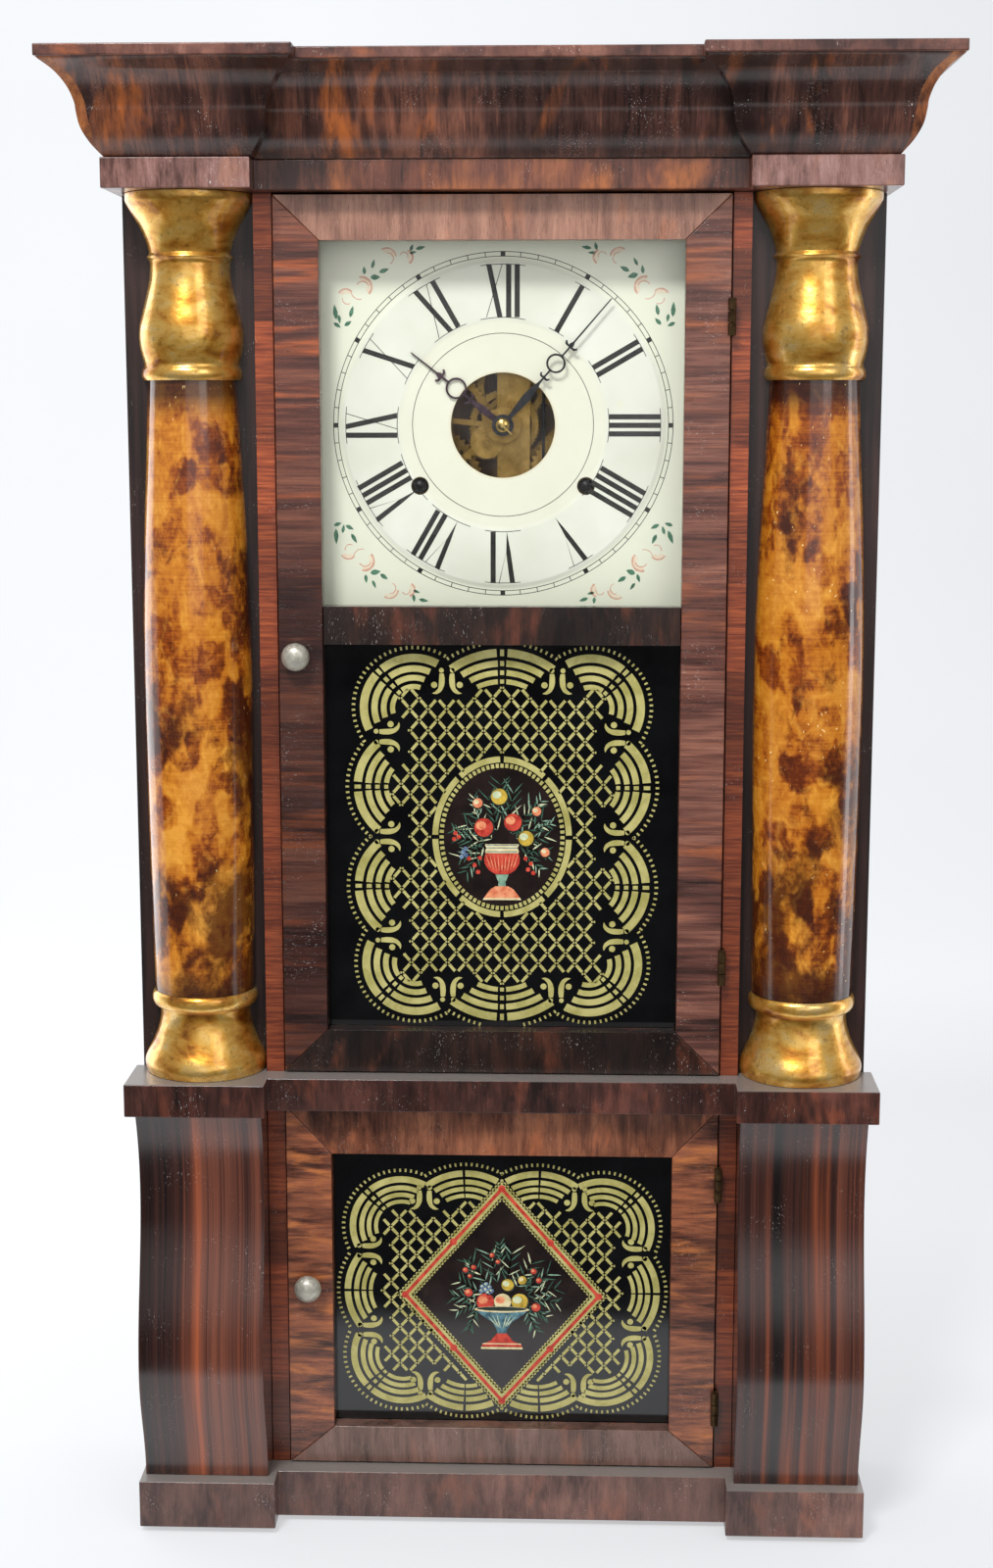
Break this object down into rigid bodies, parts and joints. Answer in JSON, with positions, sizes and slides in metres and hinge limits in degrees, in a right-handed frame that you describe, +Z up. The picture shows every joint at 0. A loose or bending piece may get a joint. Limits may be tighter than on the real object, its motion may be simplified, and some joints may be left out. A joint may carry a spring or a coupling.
{
  "type": "column shelf clock",
  "caption": "Weight-driven shelf clock: veneered case with split columns, ogee pilasters, painted dial and hinged doors with stencilled tablets.",
  "frame": {"origin": "middle of the overall footprint, on the plane the clock stands on", "axes": "+Z up, front of the clock towards -Y, +X to the right as seen from the front"},
  "size_m": [0.474, 0.15, 0.826],
  "materials": {
    "veneer": "dark red-brown figured veneer under old varnish",
    "ogee_veneer": "straight-grained veneer under gloss varnish",
    "panel_black": "dark stained softwood",
    "pine": "bare aged pine",
    "shell_paint": "gloss tortoiseshell graining with gilded capital and base",
    "black_glass": "reverse-painted black with stencilled ornament",
    "clear_glass": "clear window glass",
    "dial_paint": "pale cream enamel paint on zinc",
    "steel": "dark blued steel",
    "brass": "aged brass",
    "pewter": "dull nickel-grey domed knob",
    "iron": "rough casting",
    "cord": "twisted cotton cord",
    "pulley_wood": "turned bare hardwood"
  },
  "bodies": {
    "case": {"left_side": "veneer", "right_side": "veneer", "backboard": "pine", "bottom_board": "pine", "top_board": "pine", "left_panel": "panel_black", "right_panel": "panel_black", "plinth": "veneer", "shelf": "veneer", "frieze": "veneer", "cornice": "veneer", "left_pilaster": "ogee_veneer", "right_pilaster": "ogee_veneer", "left_column": "shell_paint", "right_column": "shell_paint", "left_partition": "pine", "right_partition": "pine", "seatboard": "pine", "dial_plate": "dial_paint", "front_plate": "brass", "back_plate": "brass", "gong": "iron", "time_cord": "cord", "strike_cord": "cord", "upper_door_top_hinge_fixed_leaf": "brass", "upper_door_low_hinge_fixed_leaf": "brass", "lower_door_top_hinge_fixed_leaf": "brass", "lower_door_low_hinge_fixed_leaf": "brass"},
    "upper_door": {"upper_door_frame": "veneer", "dial_glass": "clear_glass", "upper_tablet": "black_glass", "upper_door_top_hinge_door_leaf": "brass", "upper_door_low_hinge_door_leaf": "brass"},
    "upper_catch": {"upper_knob": "pewter"},
    "lower_door": {"lower_door_frame": "veneer", "lower_tablet": "black_glass", "lower_door_top_hinge_door_leaf": "brass", "lower_door_low_hinge_door_leaf": "brass"},
    "lower_catch": {"lower_knob": "pewter"},
    "minute_works": {"minute_arbor": "brass", "minute_hand": "steel"},
    "hour_works": {"hour_wheel": "brass", "hour_hand": "steel"},
    "motion_works": {"motion_wheel": "brass"},
    "second_arbor": {"time_second_wheel": "brass"},
    "great_arbor": {"time_great_wheel": "brass"},
    "third_arbor": {"third_wheel": "brass"},
    "escape_arbor": {"escape_wheel": "brass"},
    "verge_arbor": {"verge": "steel"},
    "pendulum": {"pendulum_rod": "steel", "pendulum_bob": "brass"},
    "time_barrel": {"time_drum": "pulley_wood"},
    "strike_barrel": {"strike_drum": "pulley_wood"},
    "time_sheave": {"time_pulley": "pulley_wood"},
    "strike_sheave": {"strike_pulley": "pulley_wood"},
    "time_mass": {"time_weight": "iron"},
    "strike_mass": {"strike_weight": "iron"},
    "strike_great_arbor": {"strike_great_wheel": "brass"},
    "strike_second_arbor": {"strike_second_wheel": "brass"},
    "hammer_arbor": {"hammer": "steel"}
  },
  "joints": [
    {"name": "upper_door_hinge", "type": "hinge", "parent": "case", "child": "upper_door", "pos_m": [0.12455, -0.0115, 0.511], "axis": [0, 0, 1], "range_deg": [0, 120]},
    {"name": "upper_catch_turn", "type": "hinge", "parent": "upper_door", "child": "upper_catch", "pos_m": [-0.114, 0, 0.5066], "axis": [0, 1, 0], "range_deg": [-90, 0]},
    {"name": "lower_door_hinge", "type": "hinge", "parent": "case", "child": "lower_door", "pos_m": [0.12455, -0.0115, 0.1342], "axis": [0, 0, 1], "range_deg": [0, 105]},
    {"name": "lower_catch_turn", "type": "hinge", "parent": "lower_door", "child": "lower_catch", "pos_m": [-0.112, 0, 0.1385], "axis": [0, 1, 0], "range_deg": [-90, 0]},
    {"name": "minute_turn", "type": "hinge", "parent": "case", "child": "minute_works", "pos_m": [0, 0.03, 0.6333], "axis": [0, 1, 0], "continuous": true},
    {"name": "hour_turn", "type": "hinge", "parent": "case", "child": "hour_works", "pos_m": [0, 0.0175, 0.6333], "axis": [0, 1, 0], "continuous": true},
    {"name": "motion_turn", "type": "hinge", "parent": "case", "child": "motion_works", "pos_m": [-0.0092, 0.0235, 0.6241], "axis": [0, 1, 0], "continuous": true},
    {"name": "second_turn", "type": "hinge", "parent": "case", "child": "second_arbor", "pos_m": [0.035, 0.04, 0.6363], "axis": [0, 1, 0], "continuous": true},
    {"name": "great_turn", "type": "hinge", "parent": "case", "child": "great_arbor", "pos_m": [0.0464, 0.031, 0.5998], "axis": [0, 1, 0], "continuous": true},
    {"name": "third_turn", "type": "hinge", "parent": "case", "child": "third_arbor", "pos_m": [0.004, 0.04, 0.6547], "axis": [0, 1, 0], "continuous": true},
    {"name": "escape_turn", "type": "hinge", "parent": "case", "child": "escape_arbor", "pos_m": [0.0225, 0.04, 0.6669], "axis": [0, 1, 0], "continuous": true},
    {"name": "pendulum_swing", "type": "hinge", "parent": "case", "child": "pendulum", "pos_m": [0.0225, 0.0215, 0.6993], "axis": [0, 1, 0], "range_deg": [-2.6, 2.6]},
    {"name": "verge_rock", "type": "hinge", "parent": "case", "child": "verge_arbor", "pos_m": [0.0225, 0.03, 0.6842], "axis": [0, 1, 0], "range_deg": [-3.7, 3.7]},
    {"name": "time_weight_lift", "type": "slide", "parent": "case", "child": "time_mass", "axis": [0, 0, 1], "range_m": [0, 0.5], "deforming": ["time_cord"]},
    {"name": "time_drum_wind", "type": "hinge", "parent": "case", "child": "time_barrel", "pos_m": [0.0464, 0.0404, 0.5998], "axis": [0, 1, 0], "range_deg": [-2145, 0]},
    {"name": "time_pulley_turn", "type": "hinge", "parent": "case", "child": "time_sheave", "pos_m": [0.153, 0.0404, 0.806], "axis": [0, 1, 0], "range_deg": [-2145, 0]},
    {"name": "strike_weight_lift", "type": "slide", "parent": "case", "child": "strike_mass", "axis": [0, 0, 1], "range_m": [0, 0.5], "deforming": ["strike_cord"]},
    {"name": "strike_drum_wind", "type": "hinge", "parent": "case", "child": "strike_barrel", "pos_m": [-0.0464, 0.0404, 0.5998], "axis": [0, 1, 0], "range_deg": [0, 2145]},
    {"name": "strike_pulley_turn", "type": "hinge", "parent": "case", "child": "strike_sheave", "pos_m": [-0.153, 0.0404, 0.806], "axis": [0, 1, 0], "range_deg": [0, 2145]},
    {"name": "strike_second_turn", "type": "hinge", "parent": "case", "child": "strike_second_arbor", "pos_m": [-0.035, 0.04, 0.6363], "axis": [0, 1, 0], "continuous": true},
    {"name": "strike_great_turn", "type": "hinge", "parent": "case", "child": "strike_great_arbor", "pos_m": [-0.0464, 0.05, 0.5998], "axis": [0, 1, 0], "continuous": true},
    {"name": "hammer_lift", "type": "hinge", "parent": "case", "child": "hammer_arbor", "pos_m": [-0.058, 0.04, 0.6633], "axis": [0, 1, 0], "range_deg": [0, 3.6]}
  ],
  "couplings": [
    {"joint": "hour_turn", "follows": "minute_turn", "ratio": 0.083333},
    {"joint": "motion_turn", "follows": "minute_turn", "ratio": -0.33333},
    {"joint": "second_turn", "follows": "minute_turn", "ratio": -0.16667},
    {"joint": "great_turn", "follows": "minute_turn", "ratio": 0.02381},
    {"joint": "third_turn", "follows": "minute_turn", "ratio": -9},
    {"joint": "escape_turn", "follows": "minute_turn", "ratio": 72},
    {"joint": "verge_rock", "follows": "pendulum_swing", "ratio": 1.377},
    {"joint": "time_drum_wind", "follows": "time_weight_lift", "rad_per_m": -74.627},
    {"joint": "time_pulley_turn", "follows": "time_weight_lift", "rad_per_m": -74.627},
    {"joint": "strike_drum_wind", "follows": "strike_weight_lift", "rad_per_m": 74.627},
    {"joint": "strike_pulley_turn", "follows": "strike_weight_lift", "rad_per_m": 74.627},
    {"joint": "strike_great_turn", "follows": "strike_second_turn", "ratio": -0.14286}
  ]
}
